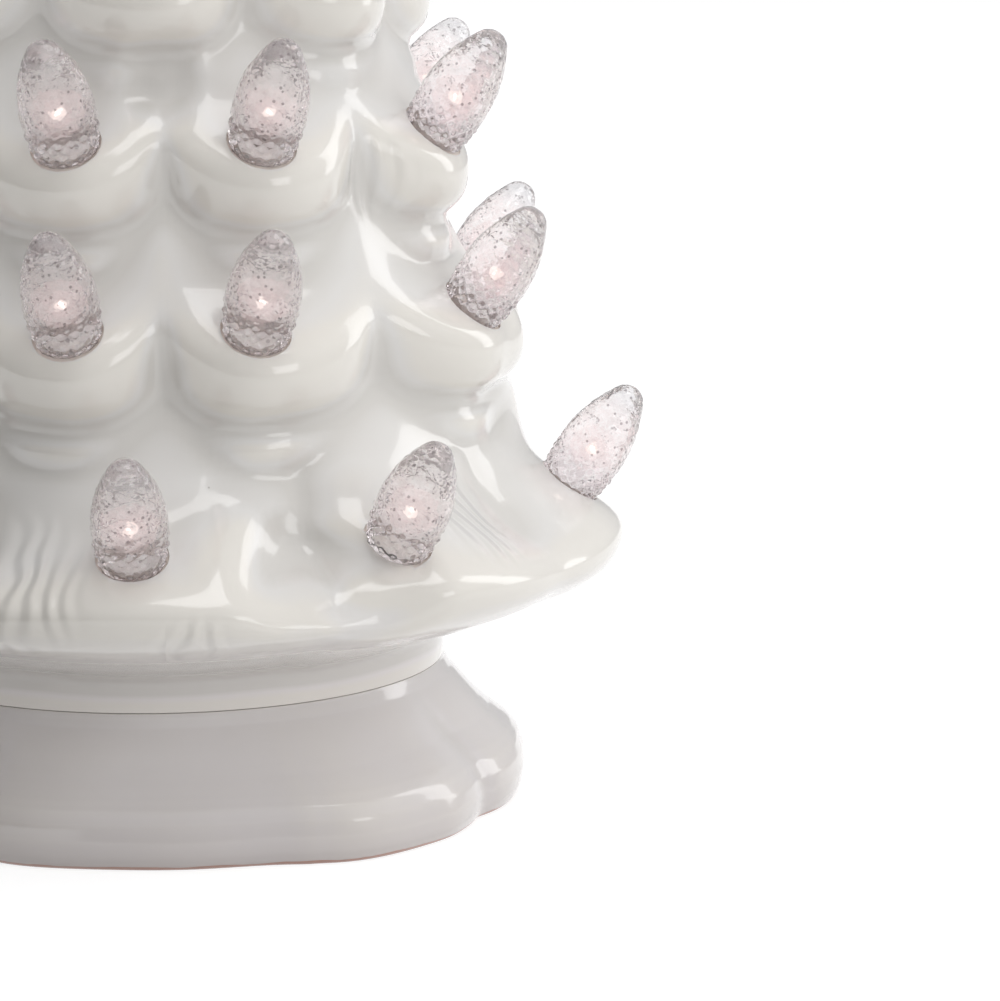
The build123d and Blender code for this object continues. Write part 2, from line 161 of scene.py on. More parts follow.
# the sheet brought to its spots, in metres with azimuth 0 at the front, and closed where its edges meet
def closeSheet(tree, sheet, spot, gap):
    place = addNode(tree, "ShaderNodeVectorMath", {"operation": "MULTIPLY", 0: spot, 1: (mm, -mm, mm)})
    shaped = addNode(tree, "GeometryNodeSetPosition", {"Geometry": sheet, "Position": place})
    return addNode(tree, "GeometryNodeMergeByDistance", {"Distance": gap * mm, "Geometry": shaped})


# runs a tree on an empty mesh, with its inputs taken by name, and returns the plain mesh that it makes
def growMesh(name, tree, values, cutters=None):
    holder = addObject(name + "Grow", bpy.data.meshes.new(name + "Grow"))
    modifier = holder.modifiers.new("grow", "NODES")
    modifier.node_group = tree
    for item in tree.interface.items_tree:
        if item.in_out == "INPUT":
            modifier[item.identifier] = values[item.name]
    if cutters:
        cut = holder.modifiers.new("holes", "BOOLEAN")
        cut.operation = "DIFFERENCE"
        cut.solver = "MANIFOLD"
        cut.material_mode = "TRANSFER"
        cut.object = cutters
    graph = bpy.context.evaluated_depsgraph_get()
    grown = holder.evaluated_get(graph)
    mesh = bpy.data.meshes.new_from_object(grown, preserve_all_data_layers=True, depsgraph=graph)
    mesh.name = name
    bpy.data.objects.remove(holder)
    return mesh


# the camera and the light come first, so that each piece can be judged against the photograph
cameraSet = {"place": (0.0, -0.560, 0.143), "aim": (0.05467, 0.0, 0.04540), "lens": 126.0, "sensor": 36.0}
cameraData = bpy.data.cameras.new("productCamera")
cameraData.lens = cameraSet["lens"]
cameraData.sensor_width = cameraSet["sensor"]
cameraData.sensor_fit = "HORIZONTAL"
cameraData.clip_start = 0.01
camera = addObject("productCamera", cameraData)
aimAt(camera, cameraSet["place"], cameraSet["aim"])
scene.camera = camera

softboxes = [
    {"name": "keyBox", "place": (0.62, -0.60, 0.30), "aim": (0, 0, 0.10), "size": (0.30, 0.26),
     "power": 0.42},
    {"name": "sideStrip", "place": (0.85, 0.25, 0.42), "aim": (0, 0, 0.08), "size": (0.24, 0.70),
     "power": 0.88},
    {"name": "topBox", "place": (0.26, -0.24, 0.95), "aim": (0, 0, 0.10), "size": (0.40, 0.40),
     "power": 1.0},
]
for box in softboxes:
    lamp = bpy.data.lights.new(box["name"], "AREA")
    lamp.shape = "RECTANGLE"
    lamp.size, lamp.size_y = box["size"]
    lamp.energy = box["power"]
    aimAt(addObject(box["name"], lamp), box["place"], box["aim"])

# the open studio lies to the right, a dark wall to the left; what looks through sees white
studio = {"openSide": (0.60, -0.06, 0.80), "wallAt": -0.75, "openAt": 0.95, "wallLight": 0.10,
          "openLight": 1.08, "colour": "#f4f3f4"}
world = bpy.data.worlds.new("studio")
scene.world = world
world.use_nodes = True
tree = world.node_tree
tree.nodes.clear()
ray = addNode(tree, "ShaderNodeLightPath")
seen = addNode(tree, "ShaderNodeMath", {
    "operation": "MAXIMUM", 0: ray.outputs["Is Camera Ray"], 1: ray.outputs["Is Transmission Ray"]})
facing = addNode(tree, "ShaderNodeVectorMath", {
    "operation": "DOT_PRODUCT", 0: addNode(tree, "ShaderNodeTexCoord").outputs["Generated"],
    1: studio["openSide"]})
openness = addNode(tree, "ShaderNodeMapRange", {
    "From Min": studio["wallAt"], "From Max": studio["openAt"], "To Min": studio["wallLight"],
    "To Max": studio["openLight"], "Value": facing.outputs["Value"]})
roomLight = addNode(tree, "ShaderNodeBackground", {"Color": linear(studio["colour"]), "Strength": openness})
whiteRoom = addNode(tree, "ShaderNodeBackground", {"Color": (1, 1, 1, 1), "Strength": 1.0})
roomMix = addNode(tree, "ShaderNodeMixShader", {0: seen, 1: roomLight, 2: whiteRoom})
addNode(tree, "ShaderNodeOutputWorld", {0: roomMix})

# floor: part paper, part glow for the rays that should see white, so that the shadow stays
floorSet = {"reach": 4.0, "colour": "#f2f2f2", "glowShare": 0.65, "glowStrength": 1.28}
far = floorSet["reach"]
floorMesh = bpy.data.meshes.new("paperFloor")
floorMesh.from_pydata([(-far, -far, 0), (far, -far, 0), (far, far, 0), (-far, far, 0)], [],
                      [(0, 1, 2, 3)])
floor = addObject("paperFloor", floorMesh)
# White matte paper: even, with no sheen
paper = bpy.data.materials.new("whitePaperSweep")
paper.use_nodes = True
tree = paper.node_tree
tree.nodes.clear()
ray = addNode(tree, "ShaderNodeLightPath")
seen = ray.outputs["Is Camera Ray"]
for rayKind in ("Is Glossy Ray", "Is Transmission Ray"):
    seen = addNode(tree, "ShaderNodeMath", {"operation": "MAXIMUM", 0: seen, 1: ray.outputs[rayKind]})
share = addNode(tree, "ShaderNodeMath", {"operation": "MULTIPLY", 0: seen, 1: floorSet["glowShare"]})
matte = addNode(tree, "ShaderNodeBsdfDiffuse", {"Color": linear(floorSet["colour"])})
glow = addNode(tree, "ShaderNodeEmission", {"Color": (1, 1, 1, 1), "Strength": floorSet["glowStrength"]})
mixed = addNode(tree, "ShaderNodeMixShader", {0: share, 1: matte, 2: glow})
addNode(tree, "ShaderNodeOutputMaterial", {0: mixed})
floorMesh.materials.append(paper)

# a dark card stands beside the set at the lower left and takes light from the base
card = {"from": (-0.032, -0.150), "to": (-0.130, -0.040), "bottom": 0.012, "height": 0.056,
        "colours": ("#4a494a", "#3c3b3c"), "grain": 2.0, "roughness": 0.9}
cardMesh = bpy.data.meshes.new("darkCard")
cardMesh.from_pydata([(*card["from"], card["bottom"]), (*card["to"], card["bottom"]),
                      (*card["to"], card["height"]), (*card["from"], card["height"])], [], [(0, 1, 2, 3)])
darkCard = addObject("darkCard", cardMesh)
darkCard.visible_camera = False
darkCard.visible_glossy = False
# Dark grey card: dull, with a faint paper grain
cardPaper, tree, shader, place = startMaterial("darkCardPaper")
grain = addNode(tree, "ShaderNodeTexNoise", {"Scale": 1 / (card["grain"] * mm), "Vector": place})
shades = addNode(tree, "ShaderNodeMix", {
    "data_type": "RGBA", 0: grain, 6: linear(card["colours"][0]), 7: linear(card["colours"][1])})
setNode(tree, shader, {"Roughness": card["roughness"], "Base Color": shades.outputs[2]})
cardMesh.materials.append(cardPaper)
print("camera, softboxes, card and floor set")

# White tin glaze fired over cast earthenware: a deep wet gloss, greyer in the hollows and a warmer ivory
# on the ridges, with a few pinholes. Sizes in mm.
glazeLook = {
    "cloudSize": 35.0, "waveLength": 14.0, "waveHeight": 0.4, "waveStrength": 0.25,
    "creaseGrey": (0.02, 0.6, 0.55), "creaseGreyTone": "#cfccc5", "ridge": (-0.05, -0.6, 0.5), "ridgeTone": "#e9e4d8",
    "pinholeCell": 9.0, "pinholeShare": 0.28, "pinholeEdge": (0.034, 0.016), "pinholeTone": "#6d6057",
    "lowFrom": 42.0, "lowTo": 26.0,
    "footShadeFrom": 11.0, "footShadeTo": 1.5, "footShadeShare": 0.75, "footShadeTone": "#c6bfbd",
    "bisqueTone": "#b98f80", "bisqueEdge": 0.8, "bisqueGrain": 9.0, "bisqueRoughness": 0.5,
    "needleHeight": 0.42, "needleStrength": 0.55, "needleBend": 0.14,
    "skirtRadius": 68.0, "boughRadius": 47.0, "skirtTop": 60.0,
    "roughness": (0.10, 0.20), "ior": 1.52, "coat": 0.8, "coatRoughness": 0.03, "coatIor": 1.5,
}


def glazeMaterial(name, tones, foot=None, needlePitch=None, lowTone=None):
    look = glazeLook
    material, tree, shader, place = startMaterial(name)
    spot = addNode(tree, "ShaderNodeSeparateXYZ", {0: place})
    cloud = addNode(tree, "ShaderNodeTexNoise", {
        "Scale": 1 / (look["cloudSize"] * mm), "Detail": 2.0, "Vector": place})
    body = addNode(tree, "ShaderNodeMix", {
        "data_type": "RGBA", 0: cloud.outputs["Fac"], 6: linear(tones[0]), 7: linear(tones[1])})
    rough = addNode(tree, "ShaderNodeMapRange", {
        "To Min": look["roughness"][0], "To Max": look["roughness"][1], "Value": cloud.outputs["Fac"]})
    layers = []        # tones laid over one another, each with its share
    if lowTone:        # cooler towards the foot ring
        low = addNode(tree, "ShaderNodeMapRange", {
            "From Min": look["lowFrom"] * mm, "From Max": look["lowTo"] * mm, "Value": spot.outputs[2]})
        layers.append((low, lowTone))
    # a grey tint in the creases and a warmer ivory on the ridges, from how hollow the surface is
    hollow = addNode(tree, "ShaderNodeAttribute", {"attribute_name": "hollow"}).outputs["Fac"]
    for form in ("creaseGrey", "ridge"):
        start, end, most = look[form]
        over = addNode(tree, "ShaderNodeMapRange", {
            "From Min": start, "From Max": end, "To Max": most, "Value": hollow})
        layers.append((over, look[form + "Tone"]))
    # pinholes: a dark speck about 0.5 mm across in some of the cells
    cells = addNode(tree, "ShaderNodeTexVoronoi", {
        "Scale": 1 / (look["pinholeCell"] * mm), "Randomness": 1.0, "Vector": place})
    lucky = addNode(tree, "ShaderNodeSeparateColor", {0: cells.outputs["Color"]})
    chosen = addNode(tree, "ShaderNodeMath", {
        "operation": "GREATER_THAN", 0: lucky.outputs[0], 1: 1 - look["pinholeShare"]})
    dim, dark = look["pinholeEdge"]
    speck = addNode(tree, "ShaderNodeMapRange", {
        "From Min": dim, "From Max": dark, "Value": cells.outputs["Distance"]})
    pinhole = addNode(tree, "ShaderNodeMath", {"operation": "MULTIPLY", 0: chosen, 1: speck})
    layers.append((pinhole, look["pinholeTone"]))
    if foot:           # greyer low down, then the bare bisque foot below an uneven glaze line
        # painted shade: the glaze turns greyer and darker low down, towards the floor
        footShade = addNode(tree, "ShaderNodeMapRange", {
            "From Min": look["footShadeFrom"] * mm, "From Max": look["footShadeTo"] * mm, "To Max": look["footShadeShare"],
            "Value": spot.outputs[2]})
        edge = addNode(tree, "ShaderNodeTexNoise", {
            "Scale": 1 / (look["bisqueGrain"] * mm), "Detail": 3.0, "Vector": place})
        reach = look["bisqueEdge"] * mm
        line = addNode(tree, "ShaderNodeMath", {
            "operation": "MULTIPLY_ADD", 0: edge.outputs["Fac"], 1: reach, 2: foot - reach / 2})
        bare = addNode(tree, "ShaderNodeMath", {"operation": "LESS_THAN", 0: spot.outputs[2], 1: line})
        layers += [(footShade, look["footShadeTone"]), (bare, look["bisqueTone"])]
        rough = addNode(tree, "ShaderNodeMath", {
            "operation": "MULTIPLY_ADD", 0: bare, 1: look["bisqueRoughness"], 2: rough})
    for layerShare, tone in layers:
        body = addNode(tree, "ShaderNodeMix", {
            "data_type": "RGBA", 0: layerShare, 6: body.outputs[2], 7: linear(tone)})
    # slow waves of a thick glaze
    waves = addNode(tree, "ShaderNodeTexNoise", {
        "Scale": 1 / (look["waveLength"] * mm), "Detail": 1.0, "Vector": place})
    skin = addNode(tree, "ShaderNodeBump", {
        "Strength": look["waveStrength"], "Distance": look["waveHeight"] * mm,
        "Height": waves.outputs["Fac"]})
    if needlePitch:    # tooled needles: soft ridges, only where the mesh says so
        turn = addNode(tree, "ShaderNodeMath", {
            "operation": "ARCTAN2", 0: spot.outputs[0], 1: spot.outputs[1]})
        high = addNode(tree, "ShaderNodeMath", {
            "operation": "GREATER_THAN", 0: spot.outputs[2], 1: look["skirtTop"] * mm})
        count = addNode(tree, "ShaderNodeMapRange", {
            "To Min": 2 * pi * look["skirtRadius"] / needlePitch,
            "To Max": 2 * pi * look["boughRadius"] / needlePitch, "Value": high})
        bent = addNode(tree, "ShaderNodeMath", {
            "operation": "MULTIPLY_ADD", 0: waves.outputs["Fac"], 1: look["needleBend"], 2: turn})
        phase = addNode(tree, "ShaderNodeMath", {"operation": "MULTIPLY", 0: bent, 1: count})
        ridges = addNode(tree, "ShaderNodeMath", {"operation": "SINE", 0: phase})
        tooled = addNode(tree, "ShaderNodeAttribute", {"attribute_name": "needles"})
        masked = addNode(tree, "ShaderNodeMath", {
            "operation": "MULTIPLY", 0: ridges, 1: tooled.outputs["Fac"]})
        skin = addNode(tree, "ShaderNodeBump", {
            "Strength": look["needleStrength"], "Distance": look["needleHeight"] * mm, "Height": masked,
            "Normal": skin})
    setNode(tree, shader, {
        "IOR": look["ior"], "Coat Weight": look["coat"], "Coat Roughness": look["coatRoughness"],
        "Coat IOR": look["coatIor"], "Base Color": body.outputs[2], "Roughness": rough, "Normal": skin})
    return material


# Moulded clear acrylic: milky pink with a painted glow round the lamp, grey and clear at the tip, with
# painted dark reflections in some of its hammer marks and painted highlights where two of them meet
acrylicLook = {
    "coarser": 1.5, "coarseBelow": 0.28, "fineAbove": 0.36, "markDepth": 0.2, "markStrength": 0.6,
    "darkReflectionShare": 0.4, "darkReflectionEdge": (0.30, 0.22), "darkReflectionTone": "#6d6468",
    "glintShare": 0.55, "glintEdge": (0.11, 0.02), "glintStrength": 0.85, "glintTone": "#ffffff",
    "contrastRise": (0.1, 0.42), "tipContrast": 0.88, "brightest": 1.05, "hazeRange": (0.6, 1.4),
    "ior": 1.3,        # eased from 1.49, so that the lamp inside stays one spot
    "clear": 0.85, "coat": 0.9, "coatRoughness": 0.04,
}


def acrylicMaterial(name, colours, hammerSize, haze, darkReflectionStrength=0.0, contrastAtSeat=0.86):
    look = acrylicLook
    material, tree, shader, place = startMaterial(name)
    rise = addNode(tree, "ShaderNodeAttribute", {"attribute_name": "rise"}).outputs["Fac"]
    # the tint from seat to tip; in the bulbs it is whitest round the lamp, a painted glow
    body = addNode(tree, "ShaderNodeValToRGB", {0: rise})
    stops = body.color_ramp.elements
    while len(stops) < len(colours):
        stops.new(0.5)
    for stop, (position, colour) in zip(stops, colours):
        stop.position = position
        stop.color = linear(colour)
    # hammer marks, larger near the seat; each mark gets a painted shade of its own, for the light that it
    # bends its own way
    fineScale = 1 / (hammerSize * mm)
    fine = addNode(tree, "ShaderNodeTexVoronoi", {"Scale": fineScale, "Vector": place})
    coarse = addNode(tree, "ShaderNodeTexVoronoi", {"Scale": fineScale / look["coarser"], "Vector": place})
    upper = addNode(tree, "ShaderNodeMapRange", {
        "From Min": look["coarseBelow"], "From Max": look["fineAbove"], "Value": rise})
    markColour = addNode(tree, "ShaderNodeMix", {
        "data_type": "RGBA", 0: upper, 6: coarse.outputs["Color"], 7: fine.outputs["Color"]})
    markDepth = addNode(tree, "ShaderNodeMix", {
        0: upper, 2: coarse.outputs["Distance"], 3: fine.outputs["Distance"]})
    lucky = addNode(tree, "ShaderNodeSeparateColor", {0: markColour.outputs[2]})
    low, high = look["contrastRise"]
    contrast = addNode(tree, "ShaderNodeMapRange", {
        "From Min": low, "From Max": high, "To Min": contrastAtSeat, "To Max": look["tipContrast"],
        "Value": rise})
    paintedMarkShade = addNode(tree, "ShaderNodeMapRange", {
        "To Max": look["brightest"], "Value": lucky.outputs[2], "To Min": contrast})
    paintedMarkTones = addNode(tree, "ShaderNodeVectorMath", {"operation": "SCALE", 0: body, "Scale": paintedMarkShade})
    # painted dark reflections: a dark spot in the middle of some of the marks
    chosen = addNode(tree, "ShaderNodeMath", {
        "operation": "GREATER_THAN", 0: lucky.outputs[0], 1: 1 - look["darkReflectionShare"]})
    rim, floorOfMark = look["darkReflectionEdge"]
    dish = addNode(tree, "ShaderNodeMapRange", {
        "From Min": rim, "From Max": floorOfMark, "To Max": darkReflectionStrength, "Value": markDepth})
    paintedDarkReflection = addNode(tree, "ShaderNodeMath", {"operation": "MULTIPLY", 0: chosen, 1: dish})
    # painted highlights: thin white lines where two marks meet, on some of the marks
    seam = addNode(tree, "ShaderNodeTexVoronoi", {
        "feature": "DISTANCE_TO_EDGE", "Scale": fineScale, "Vector": place})
    wide, narrow = look["glintEdge"]
    thin = addNode(tree, "ShaderNodeMapRange", {
        "From Min": wide, "From Max": narrow, "To Max": look["glintStrength"],
        "Value": seam.outputs["Distance"]})
    some = addNode(tree, "ShaderNodeMath", {
        "operation": "GREATER_THAN", 0: lucky.outputs[1], 1: 1 - look["glintShare"]})
    paintedGlint = addNode(tree, "ShaderNodeMath", {"operation": "MULTIPLY", 0: some, 1: thin})
    under = paintedMarkTones.outputs[0]
    for layerShare, tone in ((paintedDarkReflection, look["darkReflectionTone"]), (paintedGlint, look["glintTone"])):
        under = addNode(tree, "ShaderNodeMix", {
            "data_type": "RGBA", 0: layerShare, 6: under, 7: linear(tone)}).outputs[2]
    least, most = look["hazeRange"]
    rough = addNode(tree, "ShaderNodeMapRange", {
        "To Min": least * haze, "To Max": most * haze, "Value": lucky.outputs[1]})
    hammer = addNode(tree, "ShaderNodeBump", {
        "Strength": look["markStrength"], "Distance": look["markDepth"] * mm, "Height": markDepth})
    setNode(tree, shader, {
        "IOR": look["ior"], "Transmission Weight": look["clear"], "Coat Weight": look["coat"],
        "Coat Roughness": look["coatRoughness"], "Base Color": under, "Roughness": rough, "Normal": hammer,
        "Coat Normal": hammer})
    return material


# Light from the lamp: a hard spot at the heart and a faint pink haze round it, uneven over 1.5 mm
def glowMaterial(name, colour, strength, veil):
    material, tree, shader, place = startMaterial(name)
    tree.nodes.remove(shader)
    drift = addNode(tree, "ShaderNodeTexNoise", {"Scale": 1 / (1.5 * mm), "Detail": 1.0, "Vector": place})
    power = addNode(tree, "ShaderNodeMapRange", {
        "To Min": 0.9 * strength, "To Max": 1.1 * strength, "Value": drift.outputs["Fac"]})
    light = addNode(tree, "ShaderNodeEmission", {"Color": linear(colour), "Strength": power})
    through = addNode(tree, "ShaderNodeBsdfTransparent")
    mixed = addNode(tree, "ShaderNodeMixShader", {0: veil, 1: through, 2: light})
    setNode(tree, tree.nodes["Material Output"], {"Surface": mixed})
    return material


# Plain fired, moulded and metal surfaces: two close tones, a varied sheen and a fine grain, its size in mm
def plainMaterial(name, light, dark, roughness, metallic=0.0, grain=1.2, bumpHeight=0.02):
    material, tree, shader, place = startMaterial(name)
    noise = addNode(tree, "ShaderNodeTexNoise", {"Scale": 1 / (grain * mm), "Detail": 3.0, "Vector": place})
    colour = addNode(tree, "ShaderNodeMix", {
        "data_type": "RGBA", 0: noise.outputs["Fac"], 6: linear(light), 7: linear(dark)})
    rough = addNode(tree, "ShaderNodeMapRange", {
        "To Min": roughness * 0.8, "To Max": roughness * 1.2, "Value": noise.outputs["Fac"]})
    skin = addNode(tree, "ShaderNodeBump", {
        "Strength": 0.4, "Distance": bumpHeight * mm, "Height": noise.outputs["Fac"]})
    setNode(tree, shader, {
        "Metallic": metallic, "Base Color": colour.outputs[2], "Roughness": rough, "Normal": skin})
    return material


treeGlaze = glazeMaterial("tinGlazedEarthenware", ("#e6e4df", "#dfdedb"), needlePitch=3.4,
                          lowTone="#e6e1df")
baseGlaze = glazeMaterial("tinGlazedFootedEarthenware", ("#e6e2e0", "#dfdbda"), foot=0.7 * mm)
# a pale pink tint that is whitest round the lamp's height, a painted glow
bulbTintWithPaintedGlow = [(0.0, "#efe6e8"), (0.25, "#f5eaec"), (0.4, "#fff5f5"), (0.7, "#fef6f6"), (0.88, "#efeef0")]
bulbAcrylic = acrylicMaterial("hammeredClearAcrylic", bulbTintWithPaintedGlow, 0.95, 0.08, darkReflectionStrength=0.8,
                              contrastAtSeat=0.7)
starAcrylic = acrylicMaterial("facetedClearAcrylic", [(0.0, "#f1eaec"), (1.0, "#e9e5e8")], 2.5, 0.05)
# Bare fired clay in the drilled holes: chalky and dull
bareClay = plainMaterial("bareBisque", "#e6dfd8", "#d9cfc6", 0.8, grain=0.8, bumpHeight=0.05)
lampHeart = glowMaterial("litLampHeart", "#fff3ea", 6.0, 1.0)
lampHalo = glowMaterial("litLampHalo", "#fff0e8", 1.6, 0.30)
lampHaze = glowMaterial("litLampHaze", "#f8dcda", 1.0, 0.10)
print("materials made")

# ceramic tree, in mm: tiers of boughs, each from two profiles
treeSize = {
    "radius": 74.5, "top": 221.0, "hollowTop": 211.0, "tipRadius": 3.0, "wall": 4.5, "socketRadius": 2.9,
    "footBottom": 21.61, "footInner": 39.8, "footEdge": 45.15, "footBlend": 5.0, "insideStart": 38.5,
    "softness": 0.2, "fullness": 0.85, "blend": 3.3, "skirtDroop": 0.4, "boughDroop": 3.0,
    "unevenness": 0.7, "lumpLength": 22.0, "spotRadius": 50.0, "seam": 0.02, "sharpAngle": 62.0,
    "pointsRound": 289, "pointsAlong": 301,
}
# share of the width, share of the height, bough size, azimuth of each bough in degrees from the front
tiers = [(1.000, 0.190, 1.00, (-4, 31.5, 84, 131, 176, 221, 266, 311)),
         (0.785, 0.330, 1.00, (-14.5, 15, 64, 108, 147, 186, 225, 264, 305)),
         (0.691, 0.4525, 0.96, (-16.5, 19, 65, 118, 160, 203, 248, 297)),
         (0.590, 0.570, 0.90, (-1, 42, 98, 150, 202, 254, 306)),
         (0.483, 0.681, 0.84, (-24, 46, 118, 190, 262)),
         (0.369, 0.785, 0.76, (12, 102, 196, 284)),
         (0.255, 0.880, 0.66, (-20, 98, 222))]
# a bough's outline through its nose and through the hollow beside it: height over the tip, inset from it
crestProfile = [(-26, 30), (-20, 18.5), (-17.4, 11.0), (-15.6, 7.2), (-13.6, 4.6), (-11.6, 3.4),
                (-10, 3.3), (-8.6, 3.9), (-7.4, 4.2), (-6.2, 3.6), (-4.8, 1.9), (-3.2, 0.7), (-1.2, 0.1),
                (0.8, 0), (3, 0.5), (5.5, 2.6), (8, 5.8), (11, 8.9), (15, 11.6), (18, 12.9), (28, 16.6),
                (60, 29)]
valleyProfile = [(-26, 30), (-19, 18), (-15, 13.2), (-10, 10.4), (-5, 8.8), (0, 7.6), (5, 7.4), (9, 8.8),
                 (12, 10.4), (18, 13.1), (28, 16.6), (60, 29)]
skirtCrest = [(-20, 44), (-15.5, 31), (-13.4, 25), (-11.2, 18.2), (-9.2, 12), (-7.4, 6.9), (-5.4, 3.1),
              (-3, 0.9), (-1, 0.15), (0.3, 0), (2, 1.0), (4, 3.4), (6.5, 7.2), (9, 11.0), (12, 14.6),
              (16, 17.8), (20, 20.6), (28, 24.5), (60, 38)]
skirtValley = [(-20, 44), (-15.5, 31), (-13.4, 25), (-11.2, 18.5), (-9.2, 12.7), (-7.4, 8.0), (-5.4, 4.6),
               (-3, 2.8), (-1, 2.9), (1.2, 5.2), (3.4, 9.4), (6, 13.2), (9, 16.2), (12, 18.4), (16, 20.2),
               (20, 22.0), (28, 25), (60, 38)]
# hollows off the middle between two boughs: tier, then azimuth and place in the count of boughs
waists = {0: [(21, 0.5)]}
# outside of the foot ring under the skirt: height, radius
footProfile = [(0, 44.3), (21.6, treeSize["footEdge"]), (22.8, 45.25), (24.5, 45.3), (28, 44.6),
               (31, 42.0), (40, 2.0), (240, 2.0)]
# where the needles are tooled: azimuth in degrees, height, reach
flutePatches = [(-18.5, 45, 11), (3, 38, 5), (46, 101, 8), (47, 51, 9), (112, 48, 12), (150, 78, 11),
                (-100, 72, 12), (-140, 47, 14), (178, 112, 10), (205, 70, 11), (-75, 102, 10),
                (-60, 46, 12)]
# soft hollows and swellings left by hand: azimuth in degrees, height, reach, depth
handMarks = [(86, 71, 18, 4.3), (16.5, 46, 9, -3.0), (26, 44, 8.5, -3.2), (21.5, 45, 4.5, 1.6),
             (8.5, 50, 7, 1.5), (1, 116, 9, -2.0)]


# one tier of boughs: its radius at a height and a phase, which is whole on a bough, half between two
def tierTree(name, crest, valley):
    sizes = ("phase", "height", "tipRadius", "tipHeight", "size", "droop")
    tree, given, result = newTree(name, {"Float": sizes}, {"Float": ("radius",)})
    phase = addNode(tree, "ShaderNodeMath", {"operation": "MULTIPLY", 0: given["phase"], 1: pi})
    wave = addNode(tree, "ShaderNodeMath", {"operation": "COSINE", 0: phase})
    soft = treeSize["softness"]
    root = softSize(tree, wave, soft * soft)
    share = addNode(tree, "ShaderNodeMapRange", {
        "From Min": soft, "From Max": (1 + soft * soft) ** 0.5, "Value": root})
    weight = addNode(tree, "ShaderNodeMath", {"operation": "POWER", 0: share, 1: treeSize["fullness"]})
    over = addNode(tree, "ShaderNodeMath", {
        "operation": "SUBTRACT", 0: given["height"], 1: given["tipHeight"]})
    over = addNode(tree, "ShaderNodeMath", {"operation": "DIVIDE", 0: over, 1: given["size"]})
    # the hollows beside a nose lie higher than it
    gap = addNode(tree, "ShaderNodeMath", {"operation": "SUBTRACT", 0: 1.0, 1: weight})
    lift = addNode(tree, "ShaderNodeMath", {"operation": "MULTIPLY", 0: gap, 1: given["droop"]})
    over = addNode(tree, "ShaderNodeMath", {"operation": "SUBTRACT", 0: over, 1: lift})
    low, high, deep = crest[0][0], crest[-1][0], crest[0][1]
    spot = addNode(tree, "ShaderNodeMapRange", {"From Min": low, "From Max": high, "Value": over})
    crestLine, valleyLine = [
        fillCurve(addNode(tree, "ShaderNodeFloatCurve", {"Value": spot}), points, (low, high), (0, deep))
        for points in (crest, valley)]
    inset = addNode(tree, "ShaderNodeMix", {0: weight, 2: valleyLine, 3: crestLine})
    # above the profile's end the slope goes on
    beyond = addNode(tree, "ShaderNodeMath", {"operation": "SUBTRACT", 0: over, 1: high})
    beyond = addNode(tree, "ShaderNodeMath", {"operation": "MAXIMUM", 0: beyond, 1: 0.0})
    slope = (crest[-1][1] - crest[-2][1]) / (crest[-1][0] - crest[-2][0]) / deep
    inset = addNode(tree, "ShaderNodeMath", {"operation": "MULTIPLY_ADD", 0: beyond, 1: slope, 2: inset})
    scaled = addNode(tree, "ShaderNodeMath", {"operation": "MULTIPLY", 0: inset, 1: -deep})
    radius = addNode(tree, "ShaderNodeMath", {
        "operation": "MULTIPLY_ADD", 0: scaled, 1: given["size"], 2: given["tipRadius"]})
    setNode(tree, result, {"radius": radius})
    return tree


skirtTier = tierTree("skirtTier", skirtCrest, skirtValley)
boughTier = tierTree("boughTier", crestProfile, valleyProfile)

# all tiers joined softly
surfaceTree, given, result = newTree("boughSurface", {
    "Float": ("azimuth", "height")}, {"Float": ("radius",)})
turnShare = addNode(surfaceTree, "ShaderNodeMath", {
    "operation": "MULTIPLY_ADD", 0: given["azimuth"], 1: 1 / (2 * pi), 2: 0.5})
joined = None
for i, (widthShare, heightShare, size, azimuths) in enumerate(tiers):
    # the phase counts the boughs round the tree, from the back through the front to the back
    count = len(azimuths)
    marks = [(azimuth, k) for k, azimuth in enumerate(azimuths)] + waists.get(i, [])
    stops = sorted((azimuth + 360 * turn, k + count * turn)
                   for turn in (-1, 0, 1) for azimuth, k in marks)
    below = max(k for k in range(len(stops)) if stops[k][0] <= -180)
    (a0, p0), (a1, p1) = stops[below], stops[below + 1]
    start = p0 + (p1 - p0) * (-180 - a0) / (a1 - a0)
    points = [(-180, start)] + [stop for stop in stops if -180 < stop[0] < 180] + [(180, start + count)]
    phase = profile(surfaceTree, turnShare, points, (-180, 180), (start, start + count))
    tier = addNode(surfaceTree, "GeometryNodeGroup", {
        "node_tree": boughTier if i else skirtTier, "tipRadius": widthShare * treeSize["radius"],
        "tipHeight": heightShare * treeSize["top"], "size": size,
        "droop": treeSize["boughDroop" if i else "skirtDroop"], "phase": phase, "height": given["height"]})
    if joined is None:
        joined = tier
    else:
        joined = addNode(surfaceTree, "ShaderNodeMath", {
            "operation": "SMOOTH_MAX", 0: joined, 1: tier, 2: treeSize["blend"]})
widest = addNode(surfaceTree, "ShaderNodeMath", {
    "operation": "MAXIMUM", 0: joined, 1: treeSize["tipRadius"]})
setNode(surfaceTree, result, {"radius": widest})

# the shell: one closed sheet from the foot up the outside, over the top, down the socket and the inside
shellTree, given, result = newTree("ceramicTreeShell", {
    "Int": ("pointsRound", "pointsAlong"), "Float": ("wall", "unevenness", "spotRadius"),
    "Material": ("glaze",)}, {"Geometry": ("Geometry",)})
sheet, azimuth, along = startSheet(shellTree, given)
s = treeSize
